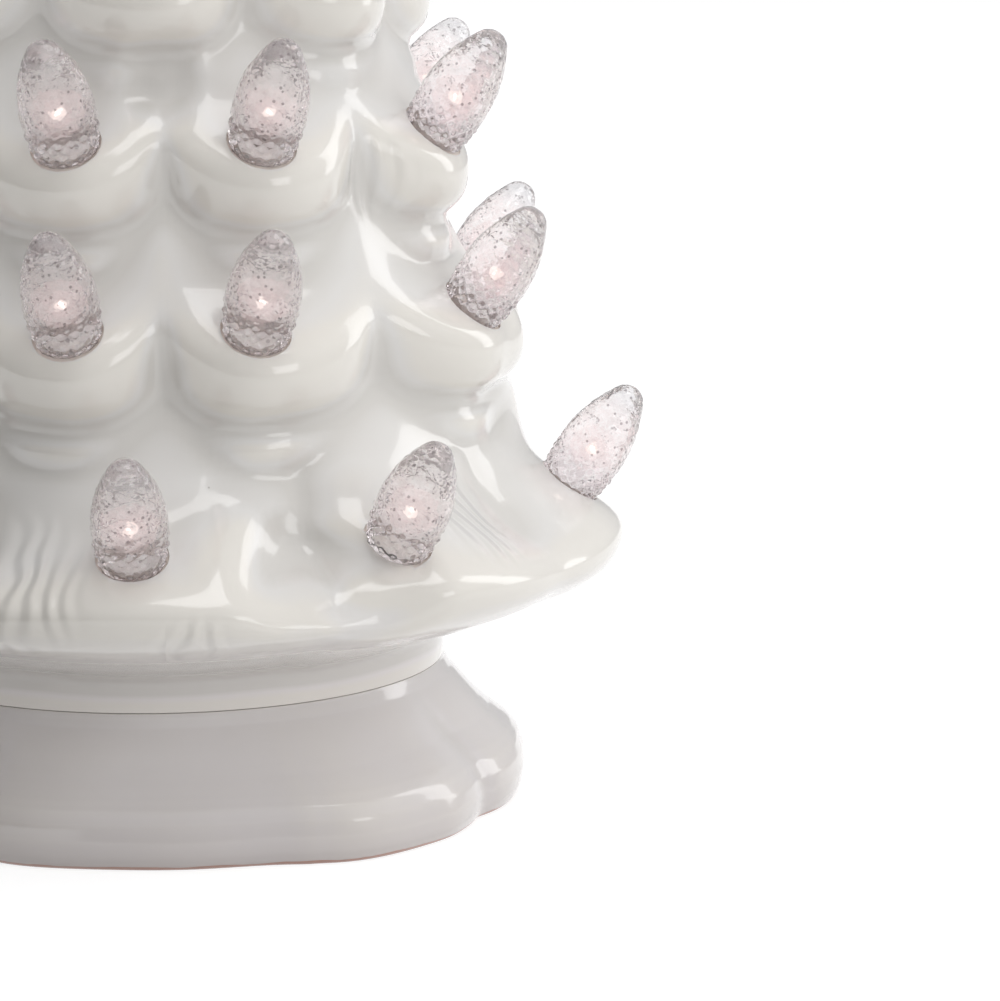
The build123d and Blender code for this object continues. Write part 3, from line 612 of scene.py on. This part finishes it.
# shares of the sheet at which its stretches end, and the height along them
ends = {"bottom": 0.02, "outside": 0.72, "top": 0.75, "socket": 0.77, "inside": 0.98}
heightLine = [(0, s["footBottom"]), (ends["bottom"], s["footBottom"]), (0.05, 30.5), (0.15, 40.0),
              (ends["outside"], s["top"]), (ends["top"], s["top"]), (ends["socket"], s["hollowTop"]),
              (ends["inside"], s["insideStart"]), (1.0, s["footBottom"])]
heightRange = (0.0, 240.0)
heightCurve = addNode(shellTree, "ShaderNodeFloatCurve", {"Value": along})
fillCurve(heightCurve, heightLine, (0, 1), heightRange, sharp=True)
height = addNode(shellTree, "ShaderNodeMath", {"operation": "MULTIPLY", 0: heightCurve, 1: heightRange[1]})
outside = addNode(shellTree, "GeometryNodeGroup", {
    "node_tree": surfaceTree, "azimuth": azimuth, "height": height})
# places on the sheet that were tooled or pressed by hand
polarSpot = roundSpot(shellTree, azimuth, given["spotRadius"], height)
needles, marked = None, outside
for markAzimuth, markHeight, reach, *depth in flutePatches + handMarks:
    middle = (s["spotRadius"] * sin(radians(markAzimuth)), s["spotRadius"] * cos(radians(markAzimuth)),
              markHeight)
    away = addNode(shellTree, "ShaderNodeVectorMath", {"operation": "DISTANCE", 0: polarSpot, 1: middle})
    near = addNode(shellTree, "ShaderNodeMapRange", {
        "interpolation_type": "SMOOTHSTEP", "From Min": reach, "From Max": 0.25 * reach,
        "Value": away.outputs["Value"]})
    if depth:
        marked = addNode(shellTree, "ShaderNodeMath", {
            "operation": "MULTIPLY_ADD", 0: near, 1: depth[0], 2: marked})
    elif needles is None:
        needles = near
    else:
        needles = addNode(shellTree, "ShaderNodeMath", {"operation": "MAXIMUM", 0: needles, 1: near})


# hand-cast unevenness, as a noise of the given length from bump to bump, added to a radius
def addLumps(tree, given, spot, length, radius):
    lumps = addNode(tree, "ShaderNodeTexNoise", {"Scale": 1 / length, "Detail": 0.0, "Vector": spot})
    lump = addNode(tree, "ShaderNodeMath", {"operation": "SUBTRACT", 0: lumps.outputs["Fac"], 1: 0.5})
    return addNode(tree, "ShaderNodeMath", {
        "operation": "MULTIPLY_ADD", 0: lump, 1: given["unevenness"], 2: radius})


uneven = addLumps(shellTree, given, polarSpot, s["lumpLength"], marked)
footRadius = profile(shellTree, heightCurve, footProfile, heightRange, (0, 100))
outer = addNode(shellTree, "ShaderNodeMath", {
    "operation": "SMOOTH_MAX", 0: uneven, 1: footRadius, 2: s["footBlend"]})
# the inside keeps a wall's thickness from the outside, above, level and below
lowest = outside
for way in (-1.0, 1.0):
    shifted = addNode(shellTree, "ShaderNodeMath", {
        "operation": "MULTIPLY_ADD", 0: given["wall"], 1: way, 2: height})
    beside = addNode(shellTree, "GeometryNodeGroup", {
        "node_tree": surfaceTree, "azimuth": azimuth, "height": shifted})
    lowest = addNode(shellTree, "ShaderNodeMath", {"operation": "MINIMUM", 0: lowest, 1: beside})
hollowRadius = addNode(shellTree, "ShaderNodeMath", {"operation": "SUBTRACT", 0: lowest, 1: given["wall"]})
inFoot = addNode(shellTree, "FunctionNodeCompare", {
    "operation": "LESS_THAN", 0: height, 1: s["insideStart"] - 0.5})
inner = addNode(shellTree, "GeometryNodeSwitch", {
    "input_type": "FLOAT", "True": s["footInner"], "Switch": inFoot, "False": hollowRadius})
inner = addNode(shellTree, "ShaderNodeMath", {"operation": "MAXIMUM", 0: inner, 1: s["socketRadius"]})
# which stretch of the sheet a point lies on
bottomRun = addNode(shellTree, "ShaderNodeMapRange", {
    "From Max": ends["bottom"], "To Min": s["footInner"], "To Max": s["footEdge"], "Value": along})
topRun = addNode(shellTree, "ShaderNodeMapRange", {
    "From Min": ends["outside"], "From Max": ends["top"], "Value": along})
topRadius = addNode(shellTree, "ShaderNodeMix", {0: topRun, 2: outer, 3: s["socketRadius"]})
radius = inner
for limit, stretch in ((ends["top"] + 0.005, topRadius), (ends["outside"] + 0.0001, outer),
                       (ends["bottom"] - 0.0001, bottomRun)):
    before = addNode(shellTree, "FunctionNodeCompare", {"operation": "LESS_THAN", 0: along, 1: limit})
    radius = addNode(shellTree, "GeometryNodeSwitch", {
        "input_type": "FLOAT", "Switch": before, "False": radius, "True": stretch})
perPoint = {"data_type": "FLOAT", "domain": "POINT"}
kept = addNode(shellTree, "GeometryNodeStoreNamedAttribute", {
    **perPoint, "Name": "needles", "Geometry": sheet, "Value": needles})
closed = closeSheet(shellTree, kept, roundSpot(shellTree, azimuth, radius, height), s["seam"])
hollowLook = {"rounds": 18, "scale": 1500.0}


# stores how hollow the surface is, positive in a crease and negative on a ridge, then smooths and glazes it
def glazeShell(tree, given, result, closed):
    here = addNode(tree, "GeometryNodeInputPosition")
    blurred = addNode(tree, "GeometryNodeBlurAttribute", {
        "data_type": "FLOAT_VECTOR", "Iterations": hollowLook["rounds"], "Value": here})
    offset = addNode(tree, "ShaderNodeVectorMath", {"operation": "SUBTRACT", 0: blurred, 1: here})
    outward = addNode(tree, "ShaderNodeVectorMath", {
        "operation": "DOT_PRODUCT", 0: offset, 1: addNode(tree, "GeometryNodeInputNormal")})
    depth = addNode(tree, "ShaderNodeMath", {
        "operation": "MULTIPLY", 0: outward.outputs["Value"], 1: hollowLook["scale"]})
    stored = addNode(tree, "GeometryNodeStoreNamedAttribute", {
        **perPoint, "Name": "hollow", "Geometry": closed, "Value": depth})
    smooth = addNode(tree, "GeometryNodeSetShadeSmooth", {"Geometry": stored})
    real = addNode(tree, "GeometryNodeRealizeInstances", {"Geometry": smooth})
    glazed = addNode(tree, "GeometryNodeSetMaterial", {"Geometry": real, "Material": given["glaze"]})
    setNode(tree, result, {"Geometry": glazed})


glazeShell(shellTree, given, result, closed)

# bulbs, in mm: body, collar and peg, the hammer marks, the diamonds cut near the seat and the lamp inside
bulbSize = {
    "length": 19.4, "collarRadius": 5.0, "collarBottom": 0.1, "collarTop": 0.8,
    "pegRadius": 2.55, "pegLength": 7.5, "holeRadius": 5.3, "boreGap": 0.3, "drillFacets": 40,
    "dimpleSize": 1.5, "dimpleDepth": 0.22, "dimpleSpread": 0.75, "dimpleEdge": 0.62,
    "diamonds": 16, "diamondSize": 2.2, "diamondDepth": 0.6, "diamondLevel": 0.75,
    "lampHeight": 7.4, "lampStretch": 1.25, "turnStep": 137.5, "seam": 0.01,
    "pointsRound": 89, "pointsAlong": 77,
}
# where each bulb sits, from its solid and its pull joint
bulbs = []
for joint in frame["joints"]:
    if not joint["name"].startswith("bulb_"):
        continue
    node = joint["name"][:-len("_pull")]
    axis = Vector(joint["axis"]).normalized()
    tip = max((v.co for v in frame["nodes"][node].data.vertices), key=lambda p: p.dot(axis))
    bulbs.append((node, joint["child"], Vector(tip) - axis * bulbSize["length"] * mm, axis))
print("bulb seats", len(bulbs))

# drilled holes: a shallow seat for the collar and the peg's bore, each with its ends over the seat
drillSizes = [(bulbSize["holeRadius"], 0.0, 12.0),
              (bulbSize["pegRadius"] + bulbSize["boreGap"], -18.0, 1.0)]
cutterMesh = bmesh.new()
for node, body, seat, axis in bulbs:
    turn = axis.to_track_quat("Z", "Y").to_matrix().to_4x4()
    for holeRadius, low, high in drillSizes:
        middle = Matrix.Translation(seat + axis * (low + high) / 2 * mm) @ turn
        bmesh.ops.create_cone(cutterMesh, cap_ends=True, segments=bulbSize["drillFacets"],
                              radius1=holeRadius * mm, radius2=holeRadius * mm, depth=(high - low) * mm,
                              matrix=middle)
holeMesh = bpy.data.meshes.new("drillHoles")
cutterMesh.to_mesh(holeMesh)
holeMesh.materials.append(bareClay)
cutterMesh.free()
drills = addObject("drillHoles", holeMesh)
shellMesh = growMesh("glazedTree", shellTree, {**treeSize, "glaze": treeGlaze}, drills)
bpy.data.objects.remove(drills)
shellMesh.set_sharp_from_angle(angle=radians(treeSize["sharpAngle"]))
addPiece("glazedTree", shellMesh, "tree", "tree_shell")
print("ceramic tree", len(shellMesh.polygons), "faces")

# lobed base, in mm and degrees: one closed sheet
baseSize = {
    "lobeDepth": 2.8, "lobeSoftness": 0.004, "lobeFullness": 0.5, "lobeAzimuth": 13.0, "creaseDepth": 1.6,
    "creaseWidth": 0.13, "lean": 1.0, "unevenness": 4.0, "lumpLength": 24.0, "spotRadius": 56.0,
    "seam": 0.02, "sharpAngle": 62.0, "pointsRound": 289, "pointsAlong": 201,
}
# how far the hand-cast outline strays: azimuth, mm
baseStray = [(-180, 0), (-60, 0), (-30, -0.8), (3, -2.2), (22, 0.3), (42, 2.8), (54, 1.8), (66, 1.8),
             (85, 0.5), (110, 0), (180, 0)]
# its outline: share along the sheet, radius, height, strength of the lobes
baseStations = [(0.0, 47.5, 0.0, 0), (0.05, 56.4, 0.0, 1), (0.065, 57.2, 0.6, 1), (0.085, 57.8, 2.2, 1),
                (0.11, 58.0, 4.4, 1), (0.14, 57.5, 6.8, 0.97), (0.17, 56.4, 8.8, 0.92),
                (0.195, 55.0, 10.2, 0.85), (0.22, 53.4, 11.5, 0.75), (0.25, 51.8, 12.9, 0.62),
                (0.28, 50.3, 14.5, 0.5), (0.315, 48.9, 16.2, 0.36), (0.35, 47.5, 17.9, 0.24),
                (0.385, 46.2, 19.5, 0.12), (0.41, 45.6, 20.6, 0.05), (0.43, 45.3, 21.2, 0.0),
                (0.445, 45.15, 21.5, 0), (0.46, 45.1, 21.6, 0), (0.52, 39.3, 21.6, 0),
                (0.55, 39.3, 24.6, 0), (0.56, 38.9, 25.0, 0), (0.58, 36.6, 25.0, 0), (0.59, 36.2, 24.6, 0),
                (0.62, 36.2, 21.6, 0), (0.72, 17.0, 21.6, 0), (0.76, 17.0, 17.6, 0), (0.88, 40.0, 17.6, 0),
                (0.98, 47.5, 0.6, 0), (1.0, 47.5, 0.0, 0)]
baseTree, given, result = newTree("lobedBase", {
    "Int": ("pointsRound", "pointsAlong"), "Material": ("glaze",),
    "Float": ("lobeDepth", "lobeAzimuth", "creaseDepth", "creaseWidth", "lean", "unevenness", "spotRadius"),
}, {"Geometry": ("Geometry",)})
sheet, azimuth, along = startSheet(baseTree, given)
plainRadius, height, lobeShare = [
    profile(baseTree, along, [(row[0], row[column]) for row in baseStations], (0, 1), (0, top))
    for column, top in ((1, 60.0), (2, 30.0), (3, 1.0))]
lobeTurn = addNode(baseTree, "ShaderNodeMath", {"operation": "RADIANS", 0: given["lobeAzimuth"]})
turned = addNode(baseTree, "ShaderNodeMath", {"operation": "SUBTRACT", 0: azimuth, 1: lobeTurn})
twice = addNode(baseTree, "ShaderNodeMath", {"operation": "MULTIPLY", 0: turned, 1: 2.0})
wave = addNode(baseTree, "ShaderNodeMath", {"operation": "COSINE", 0: twice})
root = softSize(baseTree, wave, baseSize["lobeSoftness"])
full = addNode(baseTree, "ShaderNodeMath", {"operation": "POWER", 0: root, 1: baseSize["lobeFullness"]})
lobe = addNode(baseTree, "ShaderNodeMath", {"operation": "SUBTRACT", 0: full, 1: 1.0})
deep = addNode(baseTree, "ShaderNodeMath", {"operation": "MULTIPLY", 0: lobe, 1: given["lobeDepth"]})
# a narrow crease where two lobes meet
narrow = addNode(baseTree, "ShaderNodeMath", {"operation": "DIVIDE", 0: root, 1: given["creaseWidth"]})
away = addNode(baseTree, "ShaderNodeMath", {"operation": "MULTIPLY", 0: narrow, 1: -1.0})
crease = addNode(baseTree, "ShaderNodeMath", {"operation": "EXPONENT", 0: away})
creased = addNode(baseTree, "ShaderNodeMath", {"operation": "MULTIPLY", 0: crease, 1: given["creaseDepth"]})
deep = addNode(baseTree, "ShaderNodeMath", {"operation": "SUBTRACT", 0: deep, 1: creased})
# the outline leans to the front and strays by hand
frontward = addNode(baseTree, "ShaderNodeMath", {"operation": "COSINE", 0: turned})
deep = addNode(baseTree, "ShaderNodeMath", {
    "operation": "MULTIPLY_ADD", 0: frontward, 1: given["lean"], 2: deep})
turnShare = addNode(baseTree, "ShaderNodeMath", {
    "operation": "MULTIPLY_ADD", 0: azimuth, 1: 1 / (2 * pi), 2: 0.5})
strayed = profile(baseTree, turnShare, baseStray, (-180, 180), (-4, 4), sharp=False)
deep = addNode(baseTree, "ShaderNodeMath", {"operation": "ADD", 0: deep, 1: strayed})
polarSpot = roundSpot(baseTree, azimuth, given["spotRadius"], height)
lumpy = addLumps(baseTree, given, polarSpot, baseSize["lumpLength"], deep)
radius = addNode(baseTree, "ShaderNodeMath", {
    "operation": "MULTIPLY_ADD", 0: lumpy, 1: lobeShare, 2: plainRadius})
closed = closeSheet(baseTree, sheet, roundSpot(baseTree, azimuth, radius, height), baseSize["seam"])
glazeShell(baseTree, given, result, closed)
baseMesh = growMesh("glazedBase", baseTree, {**baseSize, "glaze": baseGlaze})
baseMesh.set_sharp_from_angle(angle=radians(baseSize["sharpAngle"]))
addPiece("glazedBase", baseMesh, "base", "base_shell")
print("base", len(baseMesh.polygons), "faces")

# one hammered bulb is grown, then set into every hole at its own turn
bulbTree, given, result = newTree("hammeredBulb", {
    "Int": ("pointsRound", "pointsAlong"),
    "Float": ("dimpleSize", "dimpleDepth", "diamonds", "diamondSize", "diamondDepth"),
    "Material": ("acrylic", "heart", "halo", "haze")}, {"Geometry": ("Geometry",)})
b = bulbSize
# its outline: share along the sheet, radius, height over the seat; peg and collar, then the body
bulbStations = [(0.0, 0.0, -b["pegLength"]), (0.03, 2.1, -b["pegLength"]),
                (0.045, b["pegRadius"], -b["pegLength"] + 0.6), (0.10, b["pegRadius"], b["collarBottom"]),
                (0.135, b["collarRadius"], b["collarBottom"]), (0.16, b["collarRadius"], b["collarTop"]),
                (0.221, 5.25, 2.0), (0.306, 5.5, 4.2), (0.403, 5.6, 6.7), (0.501, 5.5, 9.2),
                (0.598, 5.05, 11.7), (0.696, 4.36, 14.0), (0.793, 3.5, 16.0), (0.866, 2.75, 17.5),
                (0.915, 2.12, 18.5), (0.963, 1.15, 19.15), (1.0, 0.0, b["length"])]
sheet, azimuth, along = startSheet(bulbTree, given)
plainRadius, height = [
    profile(bulbTree, along, [(row[0], row[column]) for row in bulbStations], (0, 1), reach)
    for column, reach in ((1, (0.0, 6.0)), (2, (-8.0, 21.0)))]
# the hammer marks: shallow round dishes that meet in ridges
spotRound = roundSpot(bulbTree, azimuth, plainRadius, height)
finer = addNode(bulbTree, "ShaderNodeMath", {"operation": "DIVIDE", 0: 1.0, 1: given["dimpleSize"]})
dishes = addNode(bulbTree, "ShaderNodeTexVoronoi", {
    "Randomness": b["dimpleSpread"], "Vector": spotRound, "Scale": finer})
dish = addNode(bulbTree, "ShaderNodeMapRange", {
    "From Max": b["dimpleEdge"], "To Min": -1.0, "To Max": 0.1, "Value": dishes.outputs["Distance"]})
# cut diamonds: two sets of slanting grooves
halfCount = addNode(bulbTree, "ShaderNodeMath", {"operation": "MULTIPLY", 0: given["diamonds"], 1: 0.5})
around = addNode(bulbTree, "ShaderNodeMath", {"operation": "MULTIPLY", 0: azimuth, 1: halfCount})
rowTurn = addNode(bulbTree, "ShaderNodeMath", {"operation": "DIVIDE", 0: pi, 1: given["diamondSize"]})
up = addNode(bulbTree, "ShaderNodeMath", {"operation": "MULTIPLY", 0: height, 1: rowTurn})
grooves = []
for way in ("ADD", "SUBTRACT"):
    slant = addNode(bulbTree, "ShaderNodeMath", {"operation": way, 0: around, 1: up})
    swing = addNode(bulbTree, "ShaderNodeMath", {"operation": "SINE", 0: slant})
    grooves.append(addNode(bulbTree, "ShaderNodeMath", {"operation": "ABSOLUTE", 0: swing}))
lattice = addNode(bulbTree, "ShaderNodeMath", {"operation": "MINIMUM", 0: grooves[0], 1: grooves[1]})
diamond = addNode(bulbTree, "ShaderNodeMath", {"operation": "SUBTRACT", 0: lattice, 1: b["diamondLevel"]})
# heights between which each pattern grows and fades, so that none is on the tip, the collar or the peg
patterns = [(dish, "dimpleDepth", ((4.0, 6.5), (17.8, 14.8))),
            (diamond, "diamondDepth", ((0.1, 0.6), (7.0, 4.6)))]
radius = plainRadius
for pattern, depthName, fades in patterns:
    depth = given[depthName]
    for low, high in fades:
        fade = addNode(bulbTree, "ShaderNodeMapRange", {"From Min": low, "From Max": high, "Value": height})
        depth = addNode(bulbTree, "ShaderNodeMath", {"operation": "MULTIPLY", 0: fade, 1: depth})
    radius = addNode(bulbTree, "ShaderNodeMath", {
        "operation": "MULTIPLY_ADD", 0: pattern, 1: depth, 2: radius})
share = addNode(bulbTree, "ShaderNodeMath", {"operation": "DIVIDE", 0: height, 1: b["length"]})
marked = addNode(bulbTree, "GeometryNodeStoreNamedAttribute", {
    **perPoint, "Name": "rise", "Geometry": sheet, "Value": share})
closed = closeSheet(bulbTree, marked, roundSpot(bulbTree, azimuth, radius, height), b["seam"])
smooth = addNode(bulbTree, "GeometryNodeSetShadeSmooth", {"Geometry": closed})
parts = [addNode(bulbTree, "GeometryNodeSetMaterial", {"Geometry": smooth, "Material": given["acrylic"]})]
# the lit heart inside and thin veils of light round it
lampGlows = [(0.21, "heart"), (0.42, "halo"), (0.75, "halo"), (1.6, "haze"), (2.8, "haze")]
for glowRadius, finish in lampGlows:
    ball = addNode(bulbTree, "GeometryNodeMeshUVSphere", {
        "Segments": 16, "Rings": 10, "Radius": glowRadius * mm})
    raised = addNode(bulbTree, "GeometryNodeTransform", {
        "Translation": (0, 0, b["lampHeight"] * mm), "Scale": (1, 1, b["lampStretch"]), "Geometry": ball})
    parts.append(addNode(bulbTree, "GeometryNodeSetMaterial", {
        "Geometry": raised, "Material": given[finish]}))
together = addNode(bulbTree, "GeometryNodeJoinGeometry")
for part in parts:
    setNode(bulbTree, together, {0: part})
real = addNode(bulbTree, "GeometryNodeRealizeInstances", {"Geometry": together})
setNode(bulbTree, result, {"Geometry": real})
flame = growMesh("hammeredBulb", bulbTree, {**bulbSize, "acrylic": bulbAcrylic, "heart": lampHeart,
                                            "halo": lampHalo, "haze": lampHaze})
for i, (node, body, seat, axis) in enumerate(bulbs):
    name = "flame" + node[len("bulb_"):]
    mesh = flame.copy()
    mesh.name = name
    ownTurn = Matrix.Rotation(radians(b["turnStep"] * i), 4, "Z")
    mesh.transform(Matrix.Translation(seat) @ axis.to_track_quat("Z", "Y").to_matrix().to_4x4() @ ownTurn)
    addPiece(name, mesh, body, node)
print("bulbs", len(bulbs), "with", len(flame.polygons), "faces each")

# finishes of the solids that stay
whiteAbs = plainMaterial("mouldedWhiteAbs", "#e3e3df", "#d9d9d4", 0.42)  # even white with a soft sheen
frosted = plainMaterial("frostedAcrylicDome", "#f1eee8", "#e8e4dc", 0.5)  # milky, no clear reflection
blackAbs = plainMaterial("mouldedBlackAbs", "#1b1b1c", "#131314", 0.45)  # deep black with a soft sheen
sleeve = plainMaterial("shrinkSleeve", "#7b7e82", "#6d7074", 0.32, grain=6.0)  # tight grey film, glossier
# nickel plate: bright, with a fine grain of plating; solder mask: a green lacquer over the board
nickel = plainMaterial("nickelPlatedSteel", "#c9c8c4", "#b9b7b2", 0.25, metallic=1.0, grain=0.5)
solderMask = plainMaterial("greenSolderMask", "#1f5a34", "#174a2a", 0.35, grain=2.0)
# cast clear epoxy: warm and see-through
lampEpoxy = acrylicMaterial("clearLampEpoxy", [(0.0, "#fff1dc"), (1.0, "#f2dfc4")], 4.0, 0.1)
finishes = {"battery_tray": whiteAbs, "bottom_cover": whiteAbs, "battery_door": whiteAbs,
            "light_post": whiteAbs, "diffuser_dome": frosted, "switch_body": blackAbs,
            "switch_slider": blackAbs, "battery_cells": sleeve, "contact_plates": nickel,
            "contact_springs": nickel, "cover_screws": nickel, "led_board": solderMask, "leds": lampEpoxy,
            "star_topper": starAcrylic}
for node, material in finishes.items():
    mesh = frame["nodes"][node].data
    mesh.materials.clear()
    mesh.materials.append(material)
print("light unit dressed")

scene.view_settings.view_transform = "Standard"
